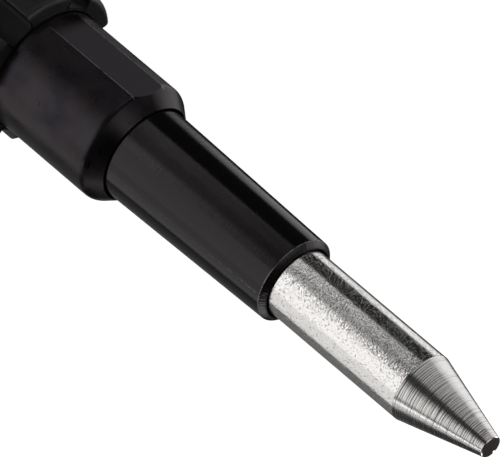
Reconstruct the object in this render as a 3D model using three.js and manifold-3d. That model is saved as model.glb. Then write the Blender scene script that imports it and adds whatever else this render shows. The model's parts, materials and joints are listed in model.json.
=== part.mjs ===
// Spring-loaded automatic centre punch, lying on its grip with the point towards +X.
// Millimetres, +Z up. The origin is on the bench, under the middle of the tool's box.
// The grip has a groove at its lowest, so the tool lies steadily on the two ribs beside it.
// Stations along the tool are distances back from the very end of the point, and a
// turn about the tool's axis is counted from +Z towards -Y.
import * as THREE from "three";
import { mergeVertices } from "three/addons/utils/BufferGeometryUtils.js";
import Module from "manifold-3d";

const wasm = await Module();
wasm.setup();

// ---- driving dimensions -------------------------------------------------------------
const RUN_GAP = 0.15; // radial play of a piece that slides or turns in its bore
const SEAT_GAP = 0.1; // radial gap between pieces that are pressed or screwed together
const FACE_GAP = 0.2; // gap between two faces that rest on each other

const ROD_RADIUS = 3;
const POINT_TIP_RADIUS = 0.98; // blunt end of the ground cone
const POINT_DOME_HEIGHT = 0.25;
const POINT_CONE_LENGTH = 7.6;
const ROD_SHOWING = 13.92; // rod between the cone and the nose sleeve, at rest
const STROKE = 8; // travel of the point before the hammer is let go

const NOSE_TAPER_LENGTH = 17.52;
const NOSE_MOUTH_WALL = 0.58; // behind the mouth's chamfer
const NOSE_LIP_WALL = 0.08; // in front of it
const NOSE_CHAMFER_LENGTH = 0.38;
const NOSE_ROOT_WALL = 0.95;
const NOSE_THREAD_LENGTH = 6.69; // part of the nose sleeve that is screwed into the barrel

const BARREL_WALL = 1.1;
const BARREL_CHAMFER_LENGTH = 1.45;
const BARREL_LIP_WALL = 0.05; // wall left at the very front of the chamfer
const BARREL_SHOWING = 11.85; // barrel in front of the grip
const BARREL_THREAD_STEP = 0.4; // how much thinner the threaded rear end is
const FLAT_DEPTH = 0.24; // of each wrench flat
const FLAT_TURN = -40.7; // degrees
const FLAT_TO_GRIP = 0.3; // left round between the flats and the grip

const GRIP_WALL = 1.5;
const GRIP_ROUND = 0.6;
const GROOVES = 6;
const GROOVE_WIDTH = 2.45;
const GROOVE_FLOOR = 0.25; // wall left under a groove

const STOP_TRAVEL_SPACE = 0.6; // between the nose sleeve and the rod's neck
const COLLAR_LENGTH = 3.1;
const NECK_STEP = 0.6; // how much thinner the rod's rear neck is
const NECK_LENGTH = 5.4;
const CLIP_THICKNESS = 0.6;
const CLIP_GROOVE_DEPTH = 0.4;
const PIN_RADIUS = 1.2;
const PIN_END_RADIUS = 0.8;
const PIN_SOCKET_DEPTH = 3.5;
const PIN_PLAY = 0.2; // radial play of the drive pin in the guide washer

const SPRING_GAP = 0.45; // between a coil spring and the bore round it, or the piece in it
const RETURN_SPRING_TURNS = 6;
const RETURN_WIRE = 0.6; // diameter
const SPRING_SPARE = 0.8; // length left in a spring when it is pressed as far as it goes
const WASHER_THICKNESS = 1.6;

const BUSH_WALL = 0.65;
const BUSH_LEAD_LENGTH = 2; // straight bore in front of the catch
const BUSH_TAIL_LENGTH = 2.6; // straight bore behind the bush's taper
const CATCH_LENGTH = 4;
const CATCH_OFFSET = 0.7; // how far off centre the catch rests
const CATCH_SLOT_WIDTH = 1.6;
const CATCH_SLOT_DEPTH = 0.7;
const LEAF_THICKNESS = 0.2;
const LEAF_END_GAP = 0.3; // from each end of the catch to the leaf spring's end

const HAMMER_BODY_LENGTH = 10.7;
const SPIGOT_LENGTH = 2.5;
const HAMMER_SOCKET_SPARE = 1; // left past the drive pin's end when it enters the hammer
const SPRING_WASHER_THICKNESS = 0.6;

const MAIN_SPRING_TURNS = 9;
const MAIN_WIRE = 0.9; // diameter

const SEAT_FLANGE_LENGTH = 1.5;
const SEAT_STEM_RADIUS = 3;
const SEAT_STEM_LENGTH = 6.7;
const BALL_RADIUS = 1.2;
const DISC_THICKNESS = 1.2;

const CAP_WALL = 0.7;
const CAP_ROUND = 1.6;
const CAP_CHAMFER = 0.3;
const CAP_END_WALL = 3.2;
const CAP_ADVANCE = 2.5; // travel of the cap from its loosest to its tightest setting
const CAP_FLUTES = 12;
const CAP_FLUTE_RADIUS = 1.1;
const CAP_FLUTE_DEPTH = 0.45;
const CAP_FLUTE_FRONT = 1.2; // plain band in front of the flutes
const INSERT_WALL = 0.7;
const INSERT_LENGTH = 6.5;
const COLLAR_RING_LENGTH = 1.3;
const COLLAR_RING_WALL = 0.85;
const COLLAR_TO_CAP = 0.5; // left between the collar and the cap at its tightest
const O_RING_SECTION = 0.35; // radius
const O_RING_PROUD = 0.2; // how far the ring stands out of its groove
const O_RING_LAND = 0.5; // cap in front of the ring, at the cap's tightest

const CUT_OVERRUN = 1; // how far a cutting shape runs past the faces that it cuts

// ---- radii --------------------------------------------------------------------------
const rodBore = ROD_RADIUS + RUN_GAP;
const noseRootRadius = rodBore + NOSE_ROOT_WALL;
const barrelBore = noseRootRadius + RUN_GAP;
const barrelRadius = barrelBore + BARREL_WALL;
const barrelEndRadius = barrelRadius - BARREL_THREAD_STEP;
const gripBore = barrelRadius + SEAT_GAP;
const gripRadius = gripBore + GRIP_WALL;
const slideRadius = barrelBore - RUN_GAP; // of what slides or sits in the barrel's bore
const springRadius = barrelBore - SPRING_GAP; // outer radius of both coil springs
const neckRadius = ROD_RADIUS - NECK_STEP;
const clipRadius = springRadius - RETURN_WIRE - SPRING_GAP + RUN_GAP;
const spigotRadius = springRadius - MAIN_WIRE - SPRING_GAP;
const bushRest = slideRadius - BUSH_WALL; // bush bore where the catch rests off centre
const bushEnd = bushRest - CATCH_OFFSET; // bush bore where it has been centred
const catchRadius = bushEnd - RUN_GAP;
const catchHoleRadius = PIN_END_RADIUS + RUN_GAP;
const oRingRadius = barrelEndRadius - O_RING_SECTION + O_RING_PROUD;
const capSkirtBore = oRingRadius + O_RING_SECTION + RUN_GAP;
const insertBore = barrelEndRadius + RUN_GAP;
const capBore = insertBore + INSERT_WALL + SEAT_GAP;
const capRadius = capBore + CAP_WALL;
const restHeight = Math.sqrt(gripRadius ** 2 - (GROOVE_WIDTH / 2) ** 2); // axis over the bench

// ---- stations, each a distance back from the end of the point -----------------------
const coneEnd = POINT_DOME_HEIGHT + POINT_CONE_LENGTH;
const noseMouth = coneEnd + ROD_SHOWING;
const barrelFront = noseMouth + NOSE_TAPER_LENGTH;
const noseRear = barrelFront + NOSE_THREAD_LENGTH;
const gripFront = barrelFront + BARREL_SHOWING;

const neckFront = noseRear + STOP_TRAVEL_SPACE;
const neckRear = neckFront + NECK_LENGTH;
const collarFront = neckFront + FACE_GAP;
const collarRear = collarFront + COLLAR_LENGTH;
const clipFront = collarRear + FACE_GAP;
const clipRear = clipFront + CLIP_THICKNESS;
const pinFront = neckRear - PIN_SOCKET_DEPTH;

const returnSpringFront = collarRear + FACE_GAP;
const returnSpringSolid = RETURN_SPRING_TURNS * RETURN_WIRE;
const returnSpringRear = returnSpringFront + STROKE + returnSpringSolid + SPRING_SPARE;
const washerFront = returnSpringRear + FACE_GAP;
const washerRear = washerFront + WASHER_THICKNESS;
const bushFront = washerRear + FACE_GAP;
const catchFront = bushFront + BUSH_LEAD_LENGTH;
const catchRear = catchFront + CATCH_LENGTH;
const pinRear = catchFront - FACE_GAP;
const pinStep = pinRear - STROKE; // the catch strikes this step when it is let go
const bushTaperEnd = catchRear + STROKE;
const bushRear = bushTaperEnd + BUSH_TAIL_LENGTH;

const hammerFront = catchRear + FACE_GAP;
const hammerShoulder = bushRear + FACE_GAP;
const hammerRear = hammerShoulder + HAMMER_BODY_LENGTH;
const springWasherFront = hammerRear + FACE_GAP;
const springWasherRear = springWasherFront + SPRING_WASHER_THICKNESS;
const mainSpringFront = springWasherRear + FACE_GAP;
const mainSpringSolid = MAIN_SPRING_TURNS * MAIN_WIRE;
const mainSpringTravel = STROKE + CAP_ADVANCE;
const mainSpringRear = mainSpringFront + mainSpringTravel + mainSpringSolid + SPRING_SPARE;
const seatFront = mainSpringRear + FACE_GAP;
const seatFlangeRear = seatFront + SEAT_FLANGE_LENGTH;
const seatRear = seatFlangeRear + SEAT_STEM_LENGTH;
const ballCentre = seatRear + FACE_GAP;
const discFront = ballCentre + BALL_RADIUS + SEAT_GAP;
const discRear = discFront + DISC_THICKNESS;
const capWall = discRear + FACE_GAP; // inner end of the cap's bore
const capRear = capWall + CAP_END_WALL;

const insertRear = discFront - FACE_GAP;
const insertFront = insertRear - INSERT_LENGTH;
const capSkirtRear = insertFront - FACE_GAP;
const oRingStation = insertFront - CAP_ADVANCE - O_RING_SECTION - SEAT_GAP;
const capFront = oRingStation - O_RING_SECTION - O_RING_LAND;
const barrelRear = insertRear - CAP_ADVANCE;
const collarRingRear = capFront - CAP_ADVANCE - COLLAR_TO_CAP;
const collarRingFront = collarRingRear - COLLAR_RING_LENGTH;
const gripRear = collarRingFront - FACE_GAP;

// ---- shape helpers -------------------------------------------------------------------
const at = (station) => capRear / 2 - station;
const radians = THREE.MathUtils.degToRad;

// A piece turned on a lathe from [station, radius] corners, with the tool's axis as its axis.
function turned(corners, segments) {
  const points = corners.map(([station, radius]) => new THREE.Vector2(radius, at(station)));
  const area = points.reduce((sum, p, i) => {
    const q = points[(i + 1) % points.length];
    return sum + p.x * q.y - q.x * p.y;
  }, 0);
  if (area < 0) points.reverse();
  const onAxis = points.findIndex((p, i) => p.x === 0 && points.at(i - 1).x === 0);
  if (onAxis >= 0) points.push(...points.splice(0, onAxis));
  else points.push(points[0].clone());
  return new THREE.LatheGeometry(points, segments).rotateZ(-Math.PI / 2);
}

// A plain ring or tube between two stations.
function ring(front, rear, inner, outer, segments = 32) {
  const corners = [
    [front, inner],
    [front, outer],
    [rear, outer],
    [rear, inner],
  ];
  return turned(corners, segments);
}

// The corners of a quarter ellipse, from its front end to where it meets the full radius.
function quarterRound(front, length, radius, drop, steps) {
  return Array.from({ length: steps + 1 }, (_, i) => {
    const angle = (i / steps) * (Math.PI / 2);
    return [front + length * (1 - Math.cos(angle)), radius - drop * (1 - Math.sin(angle))];
  });
}

// A box, stood on the axis at a distance from it and turned about it.
function turnedBox(front, rear, inner, outer, width, turn) {
  return new THREE.BoxGeometry(rear - front, width, outer - inner)
    .translate(at((front + rear) / 2), 0, (inner + outer) / 2)
    .rotateX(radians(turn));
}

function solid(geometry) {
  const bare = new THREE.BufferGeometry();
  bare.setAttribute("position", geometry.getAttribute("position"));
  if (geometry.index) bare.setIndex(geometry.index);
  const merged = mergeVertices(bare, 1e-4);
  const mesh = new wasm.Mesh({
    numProp: 3,
    vertProperties: new Float32Array(merged.getAttribute("position").array),
    triVerts: new Uint32Array(merged.index.array),
  });
  return new wasm.Manifold(mesh);
}

function geometryOf(manifold) {
  const mesh = manifold.getMesh();
  return new THREE.BufferGeometry()
    .setAttribute("position", new THREE.BufferAttribute(mesh.vertProperties, 3))
    .setIndex(new THREE.BufferAttribute(mesh.triVerts, 1));
}

function cut(body, tools) {
  return geometryOf(tools.reduce((left, tool) => left.subtract(solid(tool)), solid(body)));
}

class Helix extends THREE.Curve {
  constructor(front, rear, radius, turns) {
    super();
    Object.assign(this, { front, rear, radius, turns });
  }

  getPoint(t, target = new THREE.Vector3()) {
    const angle = 2 * Math.PI * this.turns * t;
    const x = at(THREE.MathUtils.lerp(this.front, this.rear, t));
    return target.set(x, this.radius * Math.cos(angle), this.radius * Math.sin(angle));
  }
}

// An open coil spring of round wire between two stations, with its wire ends inside them.
function coil(front, rear, outer, wire, turns) {
  const middle = outer - wire / 2;
  const path = new Helix(front + wire / 2, rear - wire / 2, middle, turns);
  const section = new THREE.Shape().absarc(0, 0, wire / 2, 0, 2 * Math.PI);
  return new THREE.ExtrudeGeometry(section, {
    steps: turns * 12,
    curveSegments: 4,
    bevelEnabled: false,
    extrudePath: path,
  });
}

// ---- pieces of the housing -----------------------------------------------------------
function barrel() {
  const threadFront = collarRingRear + FACE_GAP;
  const grooveHalf = O_RING_SECTION + SEAT_GAP;
  const grooveFloor = oRingRadius - O_RING_SECTION - SEAT_GAP / 2;
  const corners = [
    [barrelFront, barrelBore],
    [barrelFront, barrelBore + BARREL_LIP_WALL],
    [barrelFront + BARREL_CHAMFER_LENGTH, barrelRadius],
    [threadFront, barrelRadius],
    [threadFront, barrelEndRadius],
    [oRingStation - grooveHalf, barrelEndRadius],
    [oRingStation - grooveHalf, grooveFloor],
    [oRingStation + grooveHalf, grooveFloor],
    [oRingStation + grooveHalf, barrelEndRadius],
    [barrelRear, barrelEndRadius],
    [barrelRear, barrelBore],
  ];
  const flats = [0, 180].map((side) =>
    turnedBox(
      barrelFront - CUT_OVERRUN,
      gripFront - FLAT_TO_GRIP,
      barrelRadius - FLAT_DEPTH,
      barrelRadius + CUT_OVERRUN,
      2 * barrelRadius,
      FLAT_TURN + side,
    ),
  );
  return cut(turned(corners, 36), flats);
}

function noseSleeve() {
  const corners = [
    [noseMouth, rodBore],
    [noseMouth, rodBore + NOSE_LIP_WALL],
    [noseMouth + NOSE_CHAMFER_LENGTH, rodBore + NOSE_MOUTH_WALL],
    [barrelFront, noseRootRadius],
    [noseRear, noseRootRadius],
    [noseRear, rodBore],
  ];
  return turned(corners, 36);
}

function grip() {
  const front = quarterRound(gripFront, GRIP_ROUND, gripRadius, GRIP_ROUND, 4);
  const rear = quarterRound(-gripRear, GRIP_ROUND, gripRadius, GRIP_ROUND, 4)
    .map(([station, radius]) => [-station, radius])
    .reverse();
  const body = turned([[gripFront, gripBore], ...front, ...rear, [gripRear, gripBore]], 60);
  const cutFront = gripFront - CUT_OVERRUN;
  const cutRear = gripRear + CUT_OVERRUN;
  const floor = gripBore + GROOVE_FLOOR;
  const grooves = Array.from({ length: GROOVES }, (_, i) => {
    const turn = 180 + (i * 360) / GROOVES;
    return turnedBox(cutFront, cutRear, floor, gripRadius + CUT_OVERRUN, GROOVE_WIDTH, turn);
  });
  return cut(body, grooves);
}

function centringBush() {
  const corners = [
    [bushFront, bushRest],
    [bushFront, slideRadius],
    [bushRear, slideRadius],
    [bushRear, bushEnd],
    [bushTaperEnd, bushEnd],
    [catchRear, bushRest],
  ];
  return turned(corners, 32);
}

// ---- pieces that move with the point -------------------------------------------------
function punchPoint() {
  const socket = PIN_RADIUS + SEAT_GAP;
  const clipFloor = neckRadius - CLIP_GROOVE_DEPTH;
  const dome = quarterRound(0, POINT_DOME_HEIGHT, POINT_TIP_RADIUS, POINT_TIP_RADIUS, 3);
  const corners = [
    ...dome,
    [coneEnd, ROD_RADIUS],
    [neckFront, ROD_RADIUS],
    [neckFront, neckRadius],
    [clipFront - SEAT_GAP, neckRadius],
    [clipFront - SEAT_GAP, clipFloor],
    [clipRear + SEAT_GAP, clipFloor],
    [clipRear + SEAT_GAP, neckRadius],
    [neckRear, neckRadius],
    [neckRear, socket],
    [pinFront - SEAT_GAP, socket],
    [pinFront - SEAT_GAP, 0],
  ];
  return turned(corners, 32);
}

function drivePin() {
  const corners = [
    [pinFront, 0],
    [pinFront, PIN_RADIUS],
    [pinStep, PIN_RADIUS],
    [pinStep, PIN_END_RADIUS],
    [pinRear, PIN_END_RADIUS],
    [pinRear, 0],
  ];
  return turned(corners, 20);
}

// ---- catch and hammer ----------------------------------------------------------------
// The catch is a short cylinder with a hole through it. It rests off centre, towards +Z,
// and has a slot along its low side for its leaf spring.
function catchBlock() {
  const face = new THREE.Shape().absarc(0, 0, catchRadius, 0, 2 * Math.PI);
  face.holes.push(new THREE.Path().absarc(0, 0, catchHoleRadius, 0, 2 * Math.PI));
  const options = { depth: CATCH_LENGTH, curveSegments: 24, bevelEnabled: false };
  const body = new THREE.ExtrudeGeometry(face, options)
    .rotateY(Math.PI / 2)
    .translate(at(catchRear), 0, CATCH_OFFSET);
  const slotFloor = CATCH_OFFSET - catchRadius + CATCH_SLOT_DEPTH;
  const slotHeight = CATCH_SLOT_DEPTH + CUT_OVERRUN;
  const slot = new THREE.BoxGeometry(CATCH_LENGTH + 2 * CUT_OVERRUN, CATCH_SLOT_WIDTH, slotHeight)
    .translate(at((catchFront + catchRear) / 2), 0, slotFloor - slotHeight / 2);
  return cut(body, [slot]);
}

// A bowed strip of spring steel, its ends in the catch's slot and its middle on the bush.
function catchLeaf() {
  const half = CATCH_LENGTH / 2 - LEAF_END_GAP;
  const top = CATCH_OFFSET - catchRadius + CATCH_SLOT_DEPTH - SEAT_GAP;
  const rise = bushRest + top - LEAF_THICKNESS - FACE_GAP;
  const bow = new THREE.Shape();
  bow.moveTo(-half, top);
  bow.quadraticCurveTo(0, top - 2 * rise, half, top);
  bow.lineTo(half, top - LEAF_THICKNESS);
  bow.quadraticCurveTo(0, top - 2 * rise - LEAF_THICKNESS, -half, top - LEAF_THICKNESS);
  const width = CATCH_SLOT_WIDTH - 2 * SEAT_GAP;
  return new THREE.ExtrudeGeometry(bow, { depth: width, curveSegments: 8, bevelEnabled: false })
    .translate(0, 0, -width / 2)
    .rotateX(Math.PI / 2)
    .translate(at((catchFront + catchRear) / 2), 0, 0);
}

function hammer() {
  const socket = catchHoleRadius;
  const socketEnd = hammerFront + STROKE - CATCH_LENGTH + HAMMER_SOCKET_SPARE;
  const corners = [
    [hammerFront, socket],
    [hammerFront, catchRadius],
    [hammerShoulder, catchRadius],
    [hammerShoulder, slideRadius],
    [hammerRear, slideRadius],
    [hammerRear, spigotRadius],
    [mainSpringFront + SPIGOT_LENGTH, spigotRadius],
    [mainSpringFront + SPIGOT_LENGTH, 0],
    [socketEnd, 0],
    [socketEnd, socket],
  ];
  return turned(corners, 28);
}

// ---- adjusting cap -------------------------------------------------------------------
function springSeat() {
  const pocket = BALL_RADIUS + SEAT_GAP;
  const pocketFloor = ballCentre - BALL_RADIUS - SEAT_GAP;
  const corners = [
    [seatFront - SPIGOT_LENGTH, 0],
    [seatFront - SPIGOT_LENGTH, spigotRadius],
    [seatFront, spigotRadius],
    [seatFront, slideRadius],
    [seatFlangeRear, slideRadius],
    [seatFlangeRear, SEAT_STEM_RADIUS],
    [seatRear, SEAT_STEM_RADIUS],
    [seatRear, pocket],
    [pocketFloor, pocket],
    [pocketFloor, 0],
  ];
  return turned(corners, 28);
}

function adjustingCap() {
  const rearEdge = quarterRound(-capRear, CAP_ROUND, capRadius, CAP_ROUND, 4)
    .map(([station, radius]) => [-station, radius])
    .reverse();
  const corners = [
    [capFront, capSkirtBore],
    [capFront, capRadius - CAP_CHAMFER],
    [capFront + CAP_CHAMFER, capRadius],
    ...rearEdge,
    [capRear, 0],
    [capWall, 0],
    [capWall, capBore],
    [capSkirtRear, capBore],
    [capSkirtRear, capSkirtBore],
  ];
  const fluteFront = at(capFront + CAP_FLUTE_FRONT);
  const fluteRear = at(capRear + CUT_OVERRUN);
  const flutes = Array.from({ length: CAP_FLUTES }, (_, i) =>
    new THREE.CylinderGeometry(CAP_FLUTE_RADIUS, CAP_FLUTE_RADIUS, fluteFront - fluteRear, 16)
      .rotateZ(Math.PI / 2)
      .translate((fluteFront + fluteRear) / 2, 0, capRadius + CAP_FLUTE_RADIUS - CAP_FLUTE_DEPTH)
      .rotateX(radians((i * 360) / CAP_FLUTES + 180 / CAP_FLUTES)),
  );
  return cut(turned(corners, 48), flutes);
}

// ---- the assembly --------------------------------------------------------------------
const finishes = {
  black_steel: { color: 0x17151a, metalness: 0.6, roughness: 0.4 },
  gloss_black: { color: 0x0e0e10, metalness: 0.3, roughness: 0.2 },
  ground_steel: { color: 0xb9b7b4, metalness: 1, roughness: 0.25 },
  spring_steel: { color: 0x7f8286, metalness: 1, roughness: 0.35 },
  plain_steel: { color: 0x9a9b9d, metalness: 1, roughness: 0.45 },
  grip_plastic: { color: 0x121214, metalness: 0, roughness: 0.5 },
  rubber: { color: 0x1c1c1c, metalness: 0, roughness: 0.85 },
};

function piece(name, finish, geometry) {
  const mesh = new THREE.Mesh(geometry, new THREE.MeshStandardMaterial(finishes[finish]));
  mesh.name = name;
  return mesh;
}

function group(...meshes) {
  const made = new THREE.Group();
  made.add(...meshes);
  return made;
}

const housing = group(
  piece("barrel", "black_steel", barrel()),
  piece("nose_sleeve", "gloss_black", noseSleeve()),
  piece("grip", "grip_plastic", grip()),
  piece(
    "guide_washer",
    "plain_steel",
    ring(washerFront, washerRear, PIN_RADIUS + PIN_PLAY, slideRadius, 24),
  ),
  piece("centring_bush", "plain_steel", centringBush()),
  piece(
    "grip_collar",
    "black_steel",
    ring(collarRingFront, collarRingRear, gripBore, gripBore + COLLAR_RING_WALL, 36),
  ),
  piece(
    "cap_o_ring",
    "rubber",
    new THREE.TorusGeometry(oRingRadius, O_RING_SECTION, 8, 36)
      .rotateY(Math.PI / 2)
      .translate(at(oRingStation), 0, 0),
  ),
  piece(
    "return_spring",
    "spring_steel",
    coil(returnSpringFront, returnSpringRear, springRadius, RETURN_WIRE, RETURN_SPRING_TURNS),
  ),
);

const striker = group(
  piece("punch_point", "ground_steel", punchPoint()),
  piece(
    "stop_collar",
    "plain_steel",
    ring(collarFront, collarRear, neckRadius + SEAT_GAP, slideRadius, 28),
  ),
  piece(
    "collar_clip",
    "spring_steel",
    ring(clipFront, clipRear, neckRadius - CLIP_GROOVE_DEPTH + SEAT_GAP, clipRadius, 24),
  ),
  piece("drive_pin", "plain_steel", drivePin()),
);

const release = group(
  piece("catch_block", "plain_steel", catchBlock()),
  piece("catch_leaf_spring", "spring_steel", catchLeaf()),
);

const striking = group(
  piece("hammer", "plain_steel", hammer()),
  piece(
    "spring_washer",
    "plain_steel",
    ring(springWasherFront, springWasherRear, spigotRadius + SEAT_GAP, springRadius, 24),
  ),
);

const seat = group(
  piece("spring_seat", "plain_steel", springSeat()),
  piece(
    "thrust_ball",
    "ground_steel",
    new THREE.SphereGeometry(BALL_RADIUS, 16, 10).translate(at(ballCentre), 0, 0),
  ),
  piece(
    "main_spring",
    "spring_steel",
    coil(mainSpringFront, mainSpringRear, springRadius, MAIN_WIRE, MAIN_SPRING_TURNS),
  ),
);

const cap = group(
  piece("adjusting_cap", "grip_plastic", adjustingCap()),
  piece(
    "cap_thread_insert",
    "plain_steel",
    ring(insertFront, insertRear, insertBore, capBore - SEAT_GAP, 48),
  ),
  piece(
    "thrust_disc",
    "plain_steel",
    turned(
      [
        [discFront, 0],
        [discFront, SEAT_STEM_RADIUS],
        [discRear, SEAT_STEM_RADIUS],
        [discRear, 0],
      ],
      24,
    ),
  ),
);

const centrePunch = group(housing, striker, release, striking, seat, cap);
centrePunch.position.z = restHeight;

const root = group(centrePunch);
root.name = "centre_punch";

export default root;
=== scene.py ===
# %% [markdown]
# # A spring-loaded automatic centre punch
#
# The tool marks metal. Pressing it down pushes the ground point back into the barrel, until a
# hammer is let go and strikes. The frame that this script loads holds every piece at its place,
# and holds how each one moves. This lesson gives the pieces their fine surfaces: turned and
# ground steel, a black oxide barrel with two spanner flats, a ribbed plastic grip, a fluted cap
# and the springs inside. Sizes and places are read from the frame, so nothing is fitted by eye.

# %% Load the frame
import json
import math
import random

import bmesh
import bpy
from mathutils import Matrix, Vector

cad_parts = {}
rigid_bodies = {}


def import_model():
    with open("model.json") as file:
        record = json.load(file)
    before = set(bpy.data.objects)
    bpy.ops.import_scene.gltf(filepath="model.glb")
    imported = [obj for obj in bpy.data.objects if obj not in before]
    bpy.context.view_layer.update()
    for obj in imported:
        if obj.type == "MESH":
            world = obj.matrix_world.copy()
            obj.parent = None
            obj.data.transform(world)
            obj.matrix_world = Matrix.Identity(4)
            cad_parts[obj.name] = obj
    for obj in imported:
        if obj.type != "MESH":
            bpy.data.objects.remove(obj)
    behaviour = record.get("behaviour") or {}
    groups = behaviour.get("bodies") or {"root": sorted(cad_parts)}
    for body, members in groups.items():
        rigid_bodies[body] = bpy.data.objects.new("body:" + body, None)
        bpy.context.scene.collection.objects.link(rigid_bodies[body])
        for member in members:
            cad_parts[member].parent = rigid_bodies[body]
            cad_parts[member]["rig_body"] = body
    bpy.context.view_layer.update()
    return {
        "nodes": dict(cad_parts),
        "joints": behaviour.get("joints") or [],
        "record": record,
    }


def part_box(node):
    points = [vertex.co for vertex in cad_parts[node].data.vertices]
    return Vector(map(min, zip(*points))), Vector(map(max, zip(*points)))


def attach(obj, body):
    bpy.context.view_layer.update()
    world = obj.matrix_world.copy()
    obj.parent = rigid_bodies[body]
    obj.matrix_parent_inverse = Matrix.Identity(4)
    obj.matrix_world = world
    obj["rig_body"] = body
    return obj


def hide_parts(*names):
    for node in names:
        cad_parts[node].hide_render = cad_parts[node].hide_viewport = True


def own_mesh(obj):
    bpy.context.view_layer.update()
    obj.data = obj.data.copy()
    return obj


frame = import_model()
MM = 0.001  # one millimetre, in the frame's metres

# %% [markdown]
# ## Reading the sizes
#
# Nearly everything here is turned, so three numbers place a piece: its front end, its rear end
# and its radius. The point looks along +X, so the front is the larger X. The axis of the whole
# tool is the middle of the punch rod. A spring also needs the travel of the slide that presses
# it, and the frame's joints give that.


# %% Measure the frame
def front(node):
    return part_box(node)[1].x


def rear(node):
    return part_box(node)[0].x


def radius(node):
    low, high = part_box(node)
    return (high.y - low.y) / 2


def travel(joint):
    """How far a slide goes from rest to its limit."""
    return next(row["range_m"][1] for row in frame["joints"] if row["name"] == joint)


AXIS_HEIGHT = sum(corner.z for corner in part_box("punch_point")) / 2
TIP = front("punch_point")
ROD_RADIUS = radius("punch_point")
print(f"axis {AXIS_HEIGHT / MM:.2f} mm over the bench, rod {2 * ROD_RADIUS / MM:.2f} mm across")

# %% [markdown]
# ## The camera
#
# A camera's place is easiest to think of as a turn round the tool, a height over the bench and a
# distance. The long lens keeps the tool nearly free of perspective. The roll turns the picture
# about the camera's own line of sight, which lets the tool run down the frame to the right.

# %% Place the camera
LENS = 620.3
VIEW_DISTANCE = 0.6557
VIEW_AZIMUTH = -14.10  # degrees from +X towards +Y
VIEW_ELEVATION = 59.93
VIEW_ROLL = -33.59
aim = Vector((36.76, 0.525, 9.30)) * MM

azimuth, elevation = math.radians(VIEW_AZIMUTH), math.radians(VIEW_ELEVATION)
towards_camera = Vector(
    (
        math.cos(elevation) * math.cos(azimuth),
        math.cos(elevation) * math.sin(azimuth),
        math.sin(elevation),
    )
)
camera = bpy.data.objects.new("camera", bpy.data.cameras.new("camera"))
camera.data.lens = LENS
camera.data.clip_start = 0.01
camera.data.clip_end = 20
level = towards_camera.to_track_quat("Z", "Y").to_matrix()
roll = Matrix.Rotation(math.radians(VIEW_ROLL), 3, "Z")
camera.matrix_world = Matrix.Translation(aim + towards_camera * VIEW_DISTANCE) @ (level @ roll).to_4x4()
bpy.context.scene.collection.objects.link(camera)
bpy.context.scene.camera = camera
bpy.context.scene.view_settings.view_transform = "Standard"
print("camera at", [round(c, 3) for c in camera.location])

# %% [markdown]
# ## Writing shader maths as Python
#
# A material that varies over a surface is a chain of nodes, and long chains are hard to read. The
# small `Field` class below wraps one output socket, so that `0.5 + noise * 0.2` adds the Math
# nodes by itself. Its reflected forms, such as `__rsub__`, make `1 - mask` work too. Every node
# comes from one method, `Graph.node`, which takes its settings first and then the values or
# links of its sockets.


# %% A socket that can be used in sums
class Field:
    def __init__(self, graph, socket):
        self.graph = graph
        self.socket = socket

    def __add__(self, other):
        return self.graph.maths("ADD", self, other)

    def __sub__(self, other):
        return self.graph.maths("SUBTRACT", self, other)

    def __rsub__(self, other):
        return self.graph.maths("SUBTRACT", other, self)

    def __mul__(self, other):
        return self.graph.maths("MULTIPLY", self, other)

    def __truediv__(self, other):
        return self.graph.maths("DIVIDE", self, other)

    def __pow__(self, other):
        return self.graph.maths("POWER", self, other)

    def __gt__(self, other):
        return self.graph.maths("GREATER_THAN", self, other)

    def __abs__(self):
        return self.graph.maths("ABSOLUTE", self)

    __radd__ = __add__
    __rmul__ = __mul__

    def between(self, low, high):
        """0 at low or under it, 1 at high or over it, and smooth between the two."""
        limits = {"Value": self, "From Min": low, "From Max": high}
        return self.graph.node("ShaderNodeMapRange", {"interpolation_type": "SMOOTHSTEP"}, limits, "Result")


print("sockets can be added, multiplied and compared")


# %% One method that makes every node
class Graph:
    """The nodes of a material, or of the world."""

    def __init__(self, tree):
        self.tree = tree

    def plug(self, slot, value):
        if isinstance(value, Field):
            self.tree.links.new(value.socket, slot)
        else:
            slot.default_value = value

    def node(self, kind, settings=None, inputs=None, output=0):
        """Adds a node, sets it, fills its sockets, and gives one of its outputs as a Field."""
        made = self.tree.nodes.new(kind)
        for name, value in (settings or {}).items():
            setattr(made, name, value)
        for name, value in (inputs or {}).items():
            self.plug(made.inputs[name], value)
        return Field(self, made.outputs[output])

    def maths(self, operation, *values):
        return self.node("ShaderNodeMath", {"operation": operation}, dict(enumerate(values)))


print("nodes come from Graph.node")

# %% A material with a place to measure from
MIX_COLOURS = (6, 7)  # a Mix node has sockets for every kind of data, and these two hold colours
MIX_RESULT = 2


def socket_name(word):
    return word.replace("_", " ").title().replace("Ior", "IOR")


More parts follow.
